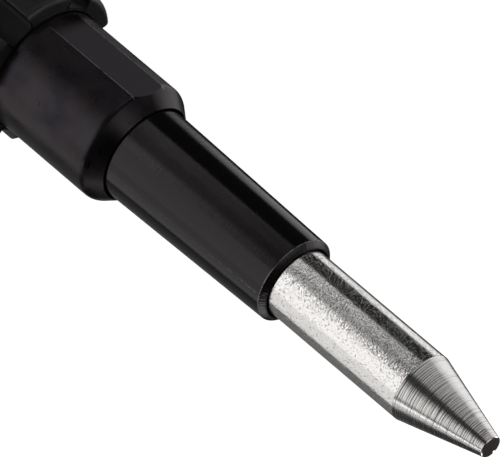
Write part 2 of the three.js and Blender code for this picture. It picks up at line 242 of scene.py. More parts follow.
class Finish(Graph):
    """A Principled material. x, y, z are millimetres in the tool's frame, with y and z from its axis."""

    def __init__(self, name, **constants):
        self.material = bpy.data.materials.new(name)
        self.material.use_nodes = True
        super().__init__(self.material.node_tree)
        self.surface = self.tree.nodes["Principled BSDF"]
        for word, value in constants.items():
            self.plug(self.surface.inputs[socket_name(word)], value)
        place = self.node("ShaderNodeTexCoord", output="Object")
        split = self.node("ShaderNodeSeparateXYZ", inputs={"Vector": place}).socket.node
        self.x, self.y, self.z = (Field(self, socket) / MM for socket in split.outputs)
        self.z = self.z - AXIS_HEIGHT / MM
        self.turn = self.maths("ARCTAN2", self.y * -1, self.z)  # from the top towards -Y, radians

    def from_axis(self):
        return (self.y * self.y + self.z * self.z) ** 0.5

    def vector(self, x, y, z):
        return self.node("ShaderNodeCombineXYZ", inputs={"X": x, "Y": y, "Z": z})

    def noise(self, place, detail=2.0, roughness=0.5):
        inputs = {"Vector": place, "Scale": 1.0, "Detail": detail, "Roughness": roughness}
        return self.node("ShaderNodeTexNoise", inputs=inputs)

    def grain(self, per_mm, detail=2.0):
        """Even noise with per_mm features in a millimetre."""
        return self.noise(self.vector(self.x * per_mm, self.y * per_mm, self.z * per_mm), detail)

    def blend(self, factor, colour, other):
        inputs = {0: factor}
        for slot, value in zip(MIX_COLOURS, (colour, other)):
            inputs[slot] = value if isinstance(value, Field) else (*value, 1.0)
        return self.node("ShaderNodeMix", {"data_type": "RGBA"}, inputs, MIX_RESULT)

    def relief(self, height, depth_mm, under=None):
        """A bump of depth_mm from the lowest height to the highest, on top of another one."""
        inputs = {"Height": height, "Distance": depth_mm * MM}
        if under is not None:
            inputs["Normal"] = under
        return self.node("ShaderNodeBump", inputs=inputs, output="Normal")

    def feed(self, **fields):
        for word, value in fields.items():
            self.plug(self.surface.inputs[socket_name(word)], value)
        print(f"{self.material.name}: {len(self.tree.nodes)} nodes")
        return self.material


finishes = {}
print("materials measure from the tool's axis")

# %% [markdown]
# ## Ground and polished steel
#
# The rod is hardened steel, polished along its length, with specks and a fine pebbly skin that
# breaks up the edges of its reflections. The cone was ground while the rod turned, so its marks
# are rings. Both finishes are one material, told apart by how far back from the tip they lie.
# The blunt end itself is painted dark and rough: painted shade for the dark surroundings it reflects.

# %% Ground steel
CONE_LENGTH = 7.85  # mm, with the domed end
DOME_LENGTH = 0.25
DARK_END_RADIUS = 0.83


def ground_steel():
    steel = Finish("ground_steel", metallic=1.0)
    from_tip = TIP / MM - steel.x
    rod = from_tip.between(CONE_LENGTH - 0.02, CONE_LENGTH + 0.02)
    inside = 1 - steel.from_axis().between(DARK_END_RADIUS - 0.03, DARK_END_RADIUS + 0.03)
    end_face = inside * (1 - from_tip.between(0.3, 0.35))

    pebbles = steel.grain(6.0)
    bright_specks = steel.grain(7.0, detail=0.0).between(0.62, 0.68) * rod
    dark_specks = steel.grain(5.6, detail=1.0).between(0.62, 0.69) * rod
    drawn = steel.noise(steel.vector(steel.x * 1.2, steel.turn * 24, 0.0), detail=3.0)
    coarse = steel.noise(steel.vector(steel.x * 5.6, steel.turn * 0.3, 0.0), detail=1.0)
    fine = steel.noise(steel.vector(steel.x * 9.5, steel.turn * 0.8, 3.0), detail=1.0)
    grooves = steel.maths("MAXIMUM", coarse.between(0.54, 0.66), fine.between(0.60, 0.72) * 0.7) * (1 - rod)

    skin = steel.relief(pebbles * rod, 0.010)
    skin = steel.relief((bright_specks - dark_specks) * 0.5 + 0.5, 0.012, under=skin)
    skin = steel.relief(coarse * (1 - rod), 0.020, under=skin)
    skin = steel.relief(fine * (1 - rod), 0.012, under=skin)

    body = steel.blend(grooves * 0.45, (0.77, 0.75, 0.735), (0.40, 0.385, 0.37))
    spotted = steel.blend(dark_specks * 0.5, body, (0.30, 0.29, 0.28))
    # The end face is painted dark brown and made less metallic: painted shade for the dark reflection on
    # the blunt end.
    painted_dark_end = steel.blend(steel.grain(5.0), (0.15, 0.115, 0.115), (0.09, 0.07, 0.07))
    colour = steel.blend(end_face, spotted, painted_dark_end)
    roughness = 0.13 + drawn * 0.06 + (1 - rod) * 0.07 + end_face * 0.1
    metallic = 1 - end_face * 0.8
    return steel.feed(base_color=colour, roughness=roughness, metallic=metallic, normal=skin)


finishes["ground_steel"] = ground_steel()

# %% [markdown]
# ## Black finishes
#
# Three different blacks meet on this tool. The nose sleeve is glossy, so it shows its turning
# marks only where a light catches them. The barrel has a satin oxide, slightly aubergine, worn
# thin along the sharp edges of the spanner flats. The grip is moulded plastic, with the very
# fine pebble that a mould leaves.

# %% Glossy black over turned steel
RUB_TURN = 51  # degrees from the top, the long rub mark on the sleeve
MOUTH_CHAMFER = 0.38  # mm, along the axis


def gloss_black():
    black = Finish("gloss_black", specular_ior_level=0.32, specular_tint=(1.0, 0.9, 0.96, 1.0))
    from_mouth = front("nose_sleeve") / MM - black.x
    lip = 1 - from_mouth.between(MOUTH_CHAMFER - 0.02, MOUTH_CHAMFER + 0.01)
    corner = 1 - abs(from_mouth - (MOUTH_CHAMFER + 0.005)).between(0.015, 0.045)
    rim = corner * black.grain(3.0).between(0.3, 0.5)

    grains = black.grain(14.0)
    sparkle = black.grain(9.0, detail=1.0).between(0.67, 0.73)
    cloud = black.grain(0.35)
    broken = black.grain(5.0).between(0.45, 0.60)
    rub = 1 - abs(black.turn - math.radians(RUB_TURN)).between(0.004, 0.028)
    rub = rub * broken * (1 - from_mouth.between(0.4, 9.0) * 0.75)
    around = black.noise(black.vector(black.x * 5.0, black.turn * 0.6, 0.0))
    spokes = black.noise(black.vector(black.turn * 18.0, black.from_axis() * 0.6, 0.0))

    skin = black.relief(grains, 0.0022)
    skin = black.relief(around * (1 - lip), 0.0035, under=skin)
    skin = black.relief(spokes * lip, 0.05, under=skin)
    deep = black.blend(sparkle * 0.3, (0.005, 0.0045, 0.005), (0.05, 0.05, 0.052))
    rubbed = black.blend(rub * 0.8, deep, (0.16, 0.155, 0.16))
    colour = black.blend(rim, rubbed, (0.22, 0.22, 0.22))
    roughness = 0.13 + cloud * 0.06 + lip * 0.16 + rub * 0.1
    return black.feed(base_color=colour, roughness=roughness, metallic=rim * 0.7, normal=skin)


finishes["gloss_black"] = gloss_black()

# %% Satin black oxide
FLAT_TURN = -40.7  # degrees, as the spanner flats are cut
FLAT_DEPTH = 0.24 * MM
FLAT_END = front("grip") + 0.3 * MM  # the station where the flats stop
BARREL_RADIUS = radius("barrel")
flat_half_width = math.sqrt(BARREL_RADIUS**2 - (BARREL_RADIUS - FLAT_DEPTH) ** 2)


def black_steel():
    oxide = Finish("black_steel", specular_ior_level=0.5)
    turn = math.radians(FLAT_TURN)
    out = oxide.z * math.cos(turn) - oxide.y * math.sin(turn)
    side = oxide.z * math.sin(turn) + oxide.y * math.cos(turn)
    past_edge = abs(abs(side) - flat_half_width / MM)
    edge = (1 - past_edge.between(0.015, 0.07)) * abs(out).between(4.9, 5.0)
    from_end = oxide.x - FLAT_END / MM
    edge = edge * from_end.between(0.2, 0.4)

    cloud = oxide.grain(0.38).between(0.3, 0.7)
    tint = oxide.grain(0.3, detail=1.0).between(0.35, 0.65)
    mottle = oxide.grain(2.2)
    pebbles = oxide.grain(11.0)
    nicks = oxide.noise(oxide.vector(oxide.x * 4.0, oxide.y * 0.9, oxide.z * 0.9), detail=0.0)
    nicks = nicks.between(0.80, 0.84)
    around = oxide.noise(oxide.vector(oxide.x * 5.0, oxide.turn * 0.5, 0.0), detail=3.0)
    worn = edge * mottle.between(0.25, 0.6)
    # The flat's milled finish fades out over its last 2 mm towards the grip: painted shade for the grip's
    # shadow on the flat.
    flat = abs(out).between(5.09, 5.104) * from_end.between(0.4, 2.0)

    skin = oxide.relief(pebbles, 0.003)
    skin = oxide.relief(around, 0.004, under=skin)
    dark = oxide.blend(cloud, (0.017, 0.015, 0.019), (0.037, 0.033, 0.037))
    brown = oxide.blend(tint * 0.5, dark, (0.044, 0.032, 0.034))
    nicked = oxide.blend(nicks * 0.9, brown, (0.004, 0.004, 0.005))
    # The milled flat's own colour, faded back to the oxide near the grip as painted shade.
    milled_flat_with_painted_shade = oxide.blend(flat, nicked, (0.035, 0.027, 0.034))
    colour = oxide.blend(worn * 0.7, milled_flat_with_painted_shade, (0.26, 0.25, 0.27))
    roughness = 0.22 + cloud * 0.12 + mottle * 0.05 + flat * 0.3
    metallic = 0.85 - flat * 0.85 + worn * 0.15
    return oxide.feed(base_color=colour, roughness=roughness, metallic=metallic, normal=skin)


finishes["black_steel"] = black_steel()

# %% Moulded black plastic
def grip_plastic():
    plastic = Finish("grip_plastic", specular_ior_level=0.5)
    cloud = plastic.grain(0.5)
    pebbles = plastic.grain(7.0)
    flow = plastic.noise(plastic.vector(plastic.x * 0.3, plastic.y * 2.5, plastic.z * 2.5))
    skin = plastic.relief(pebbles, 0.006)
    skin = plastic.relief(flow, 0.01, under=skin)
    # The groove floors and the bore are painted near black: painted shade in the recesses between the ribs.
    groove_floor_shade = (1 - plastic.from_axis().between(5.9, 6.5)) * (plastic.x > rear("grip") / MM)
    moulded = plastic.blend(cloud, (0.010, 0.0095, 0.0095), (0.017, 0.016, 0.0165))
    colour = plastic.blend(groove_floor_shade, moulded, (0.002, 0.002, 0.002))
    roughness = 0.36 + cloud * 0.12 + pebbles * 0.05 + groove_floor_shade * 0.25
    return plastic.feed(base_color=colour, roughness=roughness, normal=skin)


finishes["grip_plastic"] = grip_plastic()

# %% [markdown]
# ## Steel that is only seen when the tool comes apart
#
# The pieces inside are turned steel with a film of oil, and the springs are drawn wire. The turned
# pieces show rings round the tool's axis, and the wire shows lengthwise scratches, so one uses X
# and the other uses the angle about the axis. The sealing ring is matt rubber.


# %% Steels and rubber for the inside
def plain_steel():
    steel = Finish("plain_steel", metallic=1.0)
    rings = steel.noise(steel.vector(steel.x * 10.0, steel.turn * 0.6, 0.0), detail=3.0, roughness=0.7)
    oil = steel.grain(0.6)
    skin = steel.relief(rings, 0.008)
    colour = steel.blend(oil, (0.50, 0.49, 0.47), (0.62, 0.61, 0.60))
    return steel.feed(base_color=colour, roughness=0.2 + oil * 0.16, normal=skin)


def spring_steel():
    steel = Finish("spring_steel", metallic=1.0)
    scratches = steel.noise(steel.vector(steel.x * 14.0, steel.turn * 2.0, 0.0), detail=3.0)
    scale = steel.grain(1.4, detail=3.0).between(0.45, 0.7)
    skin = steel.relief(scratches, 0.006)
    colour = steel.blend(scale * 0.5, (0.44, 0.45, 0.47), (0.25, 0.23, 0.22))
    return steel.feed(base_color=colour, roughness=0.26 + scratches * 0.12 + scale * 0.1, normal=skin)


def rubber():
    matt = Finish("rubber", specular_ior_level=0.3)
    bloom = matt.grain(2.5, detail=3.0)
    skin = matt.relief(matt.grain(12.0), 0.006)
    colour = matt.blend(bloom, (0.016, 0.016, 0.016), (0.034, 0.033, 0.032))
    return matt.feed(base_color=colour, roughness=0.62 + bloom * 0.2, normal=skin)


finishes["plain_steel"] = plain_steel()
finishes["spring_steel"] = spring_steel()
finishes["rubber"] = rubber()

# %% Give every piece its finish
slots = {part["node"]: part["material_slot"] for part in frame["record"]["subparts"]}
for node, piece in frame["nodes"].items():
    piece.data.materials.clear()
    piece.data.materials.append(finishes[slots[node]])
print(len(slots), "pieces wear", ", ".join(finishes))

# %% [markdown]
# ## Turning a piece
#
# A lathe is one operator in bmesh: draw half the section as a line of corners, and `spin` sweeps
# it round the axis. A full turn needs `use_merge`, which welds the last copy to the first. Spin
# can leave a shape inside out, so its normals are worked out again once its doubles are merged.
# Then the sharp edges are bevelled, because no real edge is perfectly sharp, and a bevel is what
# gives an edge its thin line of light.

# %% Lathe and bevel
TURNED_STEPS = 144
FINE_STEPS = 192  # for the pieces that are seen closest
SHARP = math.radians(24)
WELD = 1e-7  # closer corners than this are one corner


def turned(corners, steps=TURNED_STEPS):
    """A closed outline of (x, radius) corners, spun about the tool's axis."""
    shape = bmesh.new()
    points = [shape.verts.new((x, 0.0, out)) for x, out in corners]
    line = [shape.edges.new(pair) for pair in zip(points, points[1:])]
    if corners[0][1] > 0 or corners[-1][1] > 0:
        line.append(shape.edges.new((points[-1], points[0])))
    bmesh.ops.spin(
        shape,
        geom=points + line,
        cent=(0, 0, 0),
        axis=(1, 0, 0),
        angle=math.tau,
        steps=steps,
        use_merge=True,
    )
    bmesh.ops.remove_doubles(shape, verts=shape.verts[:], dist=WELD)
    bmesh.ops.recalc_face_normals(shape, faces=shape.faces[:])
    return shape


def bevelled(shape, width, segments=2, chosen=lambda edge: True):
    sharp = [edge for edge in shape.edges if edge.calc_face_angle(0.0) > SHARP and chosen(edge)]
    bmesh.ops.bevel(
        shape,
        geom=sharp,
        offset=width,
        offset_type="OFFSET",
        segments=segments,
        profile=0.5,
        affect="EDGES",
        clamp_overlap=True,
        material=-1,
    )
    return shape


print(f"the lathe takes {TURNED_STEPS} or {FINE_STEPS} steps a turn")


# %% Put a finished shape in its place
def finished(name, shape, node, body=None, sharp=SHARP):
    """Stands the shape on the tool's axis, smooths its shading, and puts it in its CAD node's stead."""
    bmesh.ops.translate(shape, verts=shape.verts[:], vec=(0, 0, AXIS_HEIGHT))
    for face in shape.faces:
        face.smooth = True
    for edge in shape.edges:
        edge.smooth = edge.calc_face_angle(0.0) < sharp and not edge.seam
    mesh = bpy.data.meshes.new(name)
    shape.to_mesh(mesh)
    shape.free()
    piece = bpy.data.objects.new(name, mesh)
    bpy.context.scene.collection.objects.link(piece)
    piece.data.materials.append(finishes[slots[node]])
    even = piece.modifiers.new("even_shading", "WEIGHTED_NORMAL")
    even.keep_sharp = True
    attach(piece, body or frame["nodes"][node]["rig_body"])
    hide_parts(node)
    print(f"{name}: {len(mesh.vertices)} vertices, {len(mesh.polygons)} faces")
    return piece


print("shapes are finished in the stead of", len(frame["nodes"]), "frame pieces")

# %% [markdown]
# ## The punch point
#
# The point is one piece of hardened rod: a blunt domed end, a cone, the polished rod, and a thin
# neck behind it that carries the stop collar and its clip. The grinding rings are real grooves,
# a few thousandths of a millimetre deep and not all alike, so they are corners in the outline.
# The finest rings are left to the material. A small chip is missing from the edge of the end.

# %% The point's outline
TIP_RADIUS = 0.98 * MM
TIP_SHOULDER = 0.14 * MM
RING_PITCH = 0.17 * MM
RING_DEPTH = 0.0045 * MM
RING_SHAPE = ((0.0, 0.0), (0.35, 1.0), (0.7, 0.2))  # shares of the pitch and of the depth
NECK_STEP = 0.6 * MM
CLIP_GROOVE = 0.4 * MM
SOCKET_RADIUS = 1.3 * MM
SIDE_GAP = 0.1 * MM  # between a ring and the side of its groove
COLLAR_GAP = 0.2 * MM
cone_base = TIP - CONE_LENGTH * MM
cone_top = TIP - DOME_LENGTH * MM
chance = random.Random(12)


def point_outline():
    flat = TIP_RADIUS - TIP_SHOULDER
    crown = DOME_LENGTH * MM - TIP_SHOULDER
    dome = [(TIP - crown * (step / 8) ** 2, flat * step / 8) for step in range(9)]
    dome += [
        (TIP - crown - TIP_SHOULDER * (1 - math.cos(a)), flat + TIP_SHOULDER * math.sin(a))
        for a in (math.pi / 2 * step / 6 for step in range(1, 7))
    ]
    rings = int((cone_top - cone_base) / RING_PITCH)
    cone = []
    for ring in range(1, rings):
        for part, share in RING_SHAPE:
            along = (ring + part) / rings
            deep = RING_DEPTH * share * chance.uniform(0.1, 1.7)
            out = TIP_RADIUS + (ROD_RADIUS - TIP_RADIUS) * along - deep
            cone.append((cone_top + (cone_base - cone_top) * along, out))
    neck = ROD_RADIUS - NECK_STEP
    neck_front = front("stop_collar") + COLLAR_GAP
    clip_front, clip_rear = front("collar_clip") + SIDE_GAP, rear("collar_clip") - SIDE_GAP
    end, bottom = rear("punch_point"), front("drive_pin") + SIDE_GAP
    shank = [
        (cone_base, ROD_RADIUS),
        (neck_front, ROD_RADIUS),
        (neck_front, neck),
        (clip_front, neck),
        (clip_front, neck - CLIP_GROOVE),
        (clip_rear, neck - CLIP_GROOVE),
        (clip_rear, neck),
        (end, neck),
        (end, SOCKET_RADIUS),
        (bottom, SOCKET_RADIUS),
        (bottom, 0.0),
    ]
    return dome + cone + shank


cone_length = cone_top - cone_base
print(f"cone {cone_length / MM:.2f} mm long, with {int(cone_length / RING_PITCH)} rings")

# %% Punch point
CHIP_TURN = math.radians(181)
CHIP_HALF_WIDTH = math.radians(9)
CHIP_DEPTH = 0.12 * MM
CHIP_FLOOR = 0.6 * MM  # nearer the axis than this the end is whole
EDGE_WIDTH = 0.03 * MM


def chip(shape):
    """A small piece broken out of the end's edge, at the underside."""
    for vert in shape.verts:
        turn = math.atan2(-vert.co.y, vert.co.z) % math.tau
        off_centre = abs(turn - CHIP_TURN) / CHIP_HALF_WIDTH
        if off_centre < 1 and vert.co.x > cone_top - RING_PITCH and vert.co.yz.length > CHIP_FLOOR:
            vert.co.yz *= 1 - CHIP_DEPTH * (1 - off_centre**2) / TIP_RADIUS
            vert.co.x -= CHIP_DEPTH * (1 - off_centre**2)


point = turned(point_outline(), steps=FINE_STEPS)
chip(point)
bevelled(point, EDGE_WIDTH, chosen=lambda edge: edge.verts[0].co.x < cone_base - SIDE_GAP)
finished("punch_point_ground", point, "punch_point")

# %% [markdown]
# ## The nose sleeve
#
# The sleeve tapers from the barrel to a thin wall round the rod. Its mouth is one wide chamfer down
# to a narrow lip. The corner between the taper and the chamfer is rounded by a tool's scraping,
# and that is what shows as a bright line round the mouth.

# %% Nose sleeve
MOUTH_WALL = 0.58 * MM
ROOT_RADIUS = radius("nose_sleeve")
SLEEVE_BORE = ROD_RADIUS + 0.15 * MM
LIP_WALL = 0.08 * MM
ROOT_CHAMFER = 0.3 * MM


def sleeve_outline():
    mouth, root, end = front("nose_sleeve"), front("barrel"), rear("nose_sleeve")
    outer = SLEEVE_BORE + MOUTH_WALL
    return [
        (mouth, SLEEVE_BORE),
        (mouth, SLEEVE_BORE + LIP_WALL),
        (mouth - MOUTH_CHAMFER * MM, outer),
        (root, ROOT_RADIUS),
        (end + ROOT_CHAMFER, ROOT_RADIUS),
        (end, ROOT_RADIUS - ROOT_CHAMFER),
        (end, SLEEVE_BORE),
    ]


sleeve = bevelled(turned(sleeve_outline(), steps=FINE_STEPS), EDGE_WIDTH)
finished("nose_sleeve_turned", sleeve, "nose_sleeve")

# %% [markdown]
# ## The barrel and its spanner flats
#
# The barrel's front end is chamfered down to meet the sleeve. Two shallow flats take a spanner. To
# cut a flat without leftovers, the round shape is first scored with `bisect_plane` exactly where
# the flat will end, and then everything outside the plane is pressed down onto it. The scored
# line keeps the flat's outline clean, down to the arc where it runs out into the chamfer. The
# threaded rear end has a real helical thread.

# %% The barrel's outline
BARREL_BORE = ROOT_RADIUS + 0.15 * MM
NOSE_CHAMFER = 1.45 * MM
NOSE_LIP = 0.05 * MM
NOSE_BLEND = 0.3 * MM
BLEND_STEPS = 8
THREAD_RADIUS = BARREL_RADIUS - 0.4 * MM
THREAD_ROOT = THREAD_RADIUS - 0.5 * MM
THREAD_CHAMFER = 0.3 * MM
LAND = 0.7 * MM  # from the sealing ring's groove to the thread's root, chamfer included
SEAL_DEPTH = 0.75 * MM
SHOULDER = 0.02 * MM


def barrel_outline():
    start, end = front("barrel"), rear("barrel")
    step = rear("grip_collar") - COLLAR_GAP
    ring_front, ring_rear = front("cap_o_ring") + SIDE_GAP, rear("cap_o_ring") - SIDE_GAP
    ring_floor = radius("cap_o_ring") - SEAL_DEPTH
    corner = Vector((start - NOSE_CHAMFER, BARREL_RADIUS))
    lip = Vector((start, BARREL_BORE + NOSE_LIP))
    before = corner + (lip - corner).normalized() * NOSE_BLEND
    after = corner - Vector((NOSE_BLEND, 0))
    shares = [part / BLEND_STEPS for part in range(BLEND_STEPS + 1)]
    blend = [before.lerp(corner, t).lerp(corner.lerp(after, t), t) for t in shares]
    return [
        (start, BARREL_BORE),
        tuple(lip),
        *(tuple(point) for point in blend),
        (FLAT_END + SHOULDER, BARREL_RADIUS),
        (FLAT_END, BARREL_RADIUS),
        (step, BARREL_RADIUS),
        (step - THREAD_CHAMFER, THREAD_ROOT),
        (ring_front + LAND, THREAD_ROOT),
        (ring_front + THREAD_CHAMFER, THREAD_RADIUS),
        (ring_front, THREAD_RADIUS),
        (ring_front, ring_floor),
        (ring_rear, ring_floor),
        (ring_rear, THREAD_RADIUS),
        (ring_rear - THREAD_CHAMFER, THREAD_RADIUS),
        (ring_rear - LAND, THREAD_ROOT),
        (end + THREAD_CHAMFER, THREAD_ROOT),
        (end, THREAD_ROOT - 0.2 * MM),
        (end, BARREL_BORE),
    ]


print(f"barrel {2 * BARREL_RADIUS / MM:.1f} mm across, bored {2 * BARREL_BORE / MM:.1f} mm")


# %% Barrel with its flats
TOUCH = 1e-8  # a corner this near a plane lies on it


def press_flat(shape, turn, depth, limit):
    """Flattens the shape in front of limit, on the side that turn gives."""
    outward = Vector((0, -math.sin(turn), math.cos(turn)))
    reach = BARREL_RADIUS - depth
    everything = shape.verts[:] + shape.edges[:] + shape.faces[:]
    bmesh.ops.bisect_plane(shape, geom=everything, dist=TOUCH, plane_co=outward * reach, plane_no=outward)
    for vert in shape.verts:
        over = vert.co.dot(outward) - reach
        if over > -TOUCH and vert.co.x > limit:
            vert.co -= outward * over
            vert.tag = True
    for edge in shape.edges:
        on_flat = [all(v.tag for v in face.verts) for face in edge.link_faces]
        edge.seam = edge.seam or (any(on_flat) and not all(on_flat))
    for vert in shape.verts:
        vert.tag = False


barrel = turned(barrel_outline(), steps=FINE_STEPS)
for side in (0.0, math.pi):
    press_flat(barrel, math.radians(FLAT_TURN) + side, FLAT_DEPTH, FLAT_END + SHOULDER / 2)
bmesh.ops.remove_doubles(barrel, verts=barrel.verts[:], dist=WELD)
finished("barrel_with_flats", barrel, "barrel")

# %% [markdown]
# ## A thread as a swept ridge
#
# A screw thread is a spin that also moves along its axis: `spin` takes that step as `dvec`. A
# small tooth swept this way is a ridge that sits on the barrel's core. Its two ends are shrunk to
# almost nothing, as a real thread runs out.

# %% Barrel threads
THREAD_PITCH = 1 * MM
THREAD_STEPS = 48
THREAD_SINK = 0.05 * MM  # the ridge's foot is inside the core
CREST_HALF = 0.06 * MM


def thread(start, end, root, crest, pitch):
    turns = (start - end) / pitch
    count = int(turns * THREAD_STEPS)
    shape = bmesh.new()
    half, foot = pitch * 0.42, root - THREAD_SINK
    tooth = [(half, foot), (CREST_HALF, crest), (-CREST_HALF, crest), (-half, foot)]
    corners = [shape.verts.new((start + x, 0.0, out)) for x, out in tooth]
    face = shape.faces.new(corners)
    step = Vector(((end - start) / count, 0, 0))
    bmesh.ops.spin(
        shape,
        geom=[face],
        cent=(0, 0, 0),
        axis=(1, 0, 0),
        dvec=step,
        angle=math.tau * turns,
        steps=count,
        use_merge=False,
    )
    fade = pitch * 0.5
    for vert in shape.verts:
        share = min(1.0, max(0.0, start - vert.co.x) / fade, max(0.0, vert.co.x - end) / fade)
        out = vert.co.yz.length
        lower = foot + (out - foot) * max(share, 0.02)
        vert.co.yz *= lower / out
    bmesh.ops.recalc_face_normals(shape, faces=shape.faces[:])
    return shape


threads = {
    "barrel_thread_front": (rear("grip_collar") - 0.9 * MM, front("cap_o_ring") + 1.3 * MM),
    "barrel_thread_rear": (rear("cap_o_ring") - 1.3 * MM, rear("barrel") + 0.8 * MM),
}
for name, (start, end) in threads.items():
    finished(name, thread(start, end, THREAD_ROOT, THREAD_RADIUS, THREAD_PITCH), "barrel")

# %% [markdown]
# ## The ribbed grip
#
# The grip is a tube with six wide ribs. Its section is drawn once, for a sixth of a turn: the
# floor of a groove, its wall and the top of a rib, with both corners rounded by a vertex bevel.
# `spin` with duplicates repeats it round the axis. The outline is then extruded along the tool,
# one station at a time, and every station is held inside the rounded end of the grip, which is
# what rounds off the ribs.

# %% The grip's section
GRIP_RADIUS = math.hypot(AXIS_HEIGHT, 1.225 * MM)
GRIP_BORE = BARREL_RADIUS + 0.1 * MM
RIBS = 6
GROOVE_HALF = 1.225 * MM
GROOVE_FLOOR = GRIP_BORE + 0.25 * MM
FLOOR_ROUND = 0.3 * MM
RIB_ROUND = 0.28 * MM
LONGEST_EDGE = 0.25 * MM
ARC_STEPS = 14
SECTION_WELD = 5e-6


def rib_outline():
    """The grip's whole section, a closed loop of edges at x = 0."""
    shape = bmesh.new()
    top_angle = math.pi / RIBS
    edge_angle = math.asin(GROOVE_HALF / GRIP_RADIUS)
    points = [(0.0, GROOVE_FLOOR), (GROOVE_HALF, GROOVE_FLOOR)]
    for part in range(ARC_STEPS + 1):
        angle = edge_angle + (top_angle - edge_angle) * part / ARC_STEPS
        points.append((GRIP_RADIUS * math.sin(angle), GRIP_RADIUS * math.cos(angle)))
    verts = [shape.verts.new((0.0, y, z)) for y, z in points]
    for pair in zip(verts, verts[1:]):
        shape.edges.new(pair)
    for corner, offset in ((verts[1], FLOOR_ROUND), (verts[2], RIB_ROUND)):
        bmesh.ops.bevel(
            shape, geom=[corner], offset=offset, segments=5, profile=0.5, affect="VERTICES", material=-1
        )
    long_edges = [edge for edge in shape.edges if edge.calc_length() > LONGEST_EDGE]
    bmesh.ops.subdivide_edges(shape, edges=long_edges, cuts=3)
    half = shape.verts[:] + shape.edges[:]
    bmesh.ops.mirror(shape, geom=half, axis="Y", merge_dist=1e-6)
    sixth = shape.verts[:] + shape.edges[:]
    bmesh.ops.spin(
        shape,
        geom=sixth,
        cent=(0, 0, 0),
        axis=(1, 0, 0),
        angle=math.tau * (RIBS - 1) / RIBS,
        steps=RIBS - 1,
        use_duplicate=True,
    )
    bmesh.ops.remove_doubles(shape, verts=shape.verts[:], dist=SECTION_WELD)
    return shape


print(f"grip {2 * GRIP_RADIUS / MM:.1f} mm across, {RIBS} ribs")

# %% Ribbed grip
GRIP_ROUND = 0.6 * MM
ROUND_STEPS = 10
MIDDLE_STEPS = 24
SAME_STATION = 1e-9


def grip_stations():
    """Pairs of station and the greatest radius there, from the front end to the rear end."""
    start, end = front("grip"), rear("grip")
    rounding = [math.pi / 2 * part / ROUND_STEPS for part in range(ROUND_STEPS + 1)]
    caps = [
        (GRIP_ROUND * (1 - math.cos(angle)), GRIP_RADIUS - GRIP_ROUND * (1 - math.sin(angle)))
        for angle in rounding
    ]
    middle = [(start + (end - start) * part / MIDDLE_STEPS, GRIP_RADIUS) for part in range(1, MIDDLE_STEPS)]
    return [(start - x, out) for x, out in caps] + middle + [(end + x, out) for x, out in reversed(caps)]


def ribbed_grip():
    shape = rib_outline()
    full = shape.verts.layers.float.new("full")
    for vert in shape.verts:
        vert[full] = vert.co.yz.length

    def put(verts, x, limit, bore=None):
        for vert in verts:
            out = bore or min(vert[full], limit)
            direction = vert.co.yz.normalized()
            vert.co = (x, direction.x * out, direction.y * out)

    stations = grip_stations()
    ring = shape.edges[:]
    put(shape.verts, stations[0][0], stations[0][1], bore=GRIP_BORE)
    for x, limit in stations:
        made = bmesh.ops.extrude_edge_only(shape, edges=ring)["geom"]
        put([g for g in made if isinstance(g, bmesh.types.BMVert)], x, limit)
        edges = [g for g in made if isinstance(g, bmesh.types.BMEdge)]
        ring = [edge for edge in edges if abs(edge.verts[0].co.x - edge.verts[1].co.x) < SAME_STATION]
    made = bmesh.ops.extrude_edge_only(shape, edges=ring)["geom"]
    put([g for g in made if isinstance(g, bmesh.types.BMVert)], stations[-1][0], 0.0, bore=GRIP_BORE)
    last = [edge for edge in shape.edges if edge.is_boundary and edge.verts[0].co.x < 0]
    first = [edge for edge in shape.edges if edge.is_boundary and edge.verts[0].co.x > 0]
    bmesh.ops.bridge_loops(shape, edges=first + last)
    bmesh.ops.recalc_face_normals(shape, faces=shape.faces[:])
    return shape


finished("ribbed_grip", ribbed_grip(), "grip", sharp=math.radians(50))

# %% [markdown]
# ## Collar and cap
#
# Behind the grip a plain collar covers the end of the moulding. The cap turns to set the blow, so
# it has twelve flutes for the fingers. A flute is the path of a round cutter: where the cutter's
# circle crosses a ray from the axis, the cap's surface is pressed down to that circle. At its
# front end the cutter lifts out slowly, which gives each flute its tongue-shaped end.

# %% Grip collar
COLLAR_RADIUS = radius("grip_collar")
collar = turned(
    [
        (front("grip_collar"), GRIP_BORE),
        (front("grip_collar"), COLLAR_RADIUS),
        (rear("grip_collar"), COLLAR_RADIUS),
        (rear("grip_collar"), GRIP_BORE),
    ]
)
finished("grip_collar_turned", bevelled(collar, 0.18 * MM, segments=3), "grip_collar")

# %% The cap's outline
CAP_RADIUS = radius("adjusting_cap")
CAP_ROUND = 1.6 * MM
CAP_CHAMFER = 0.3 * MM
CAP_STEPS = 12
FLUTE_START = front("adjusting_cap") - 1.2 * MM
FLUTE_LIFT = 1.1 * MM
LIFT_STEPS = 10


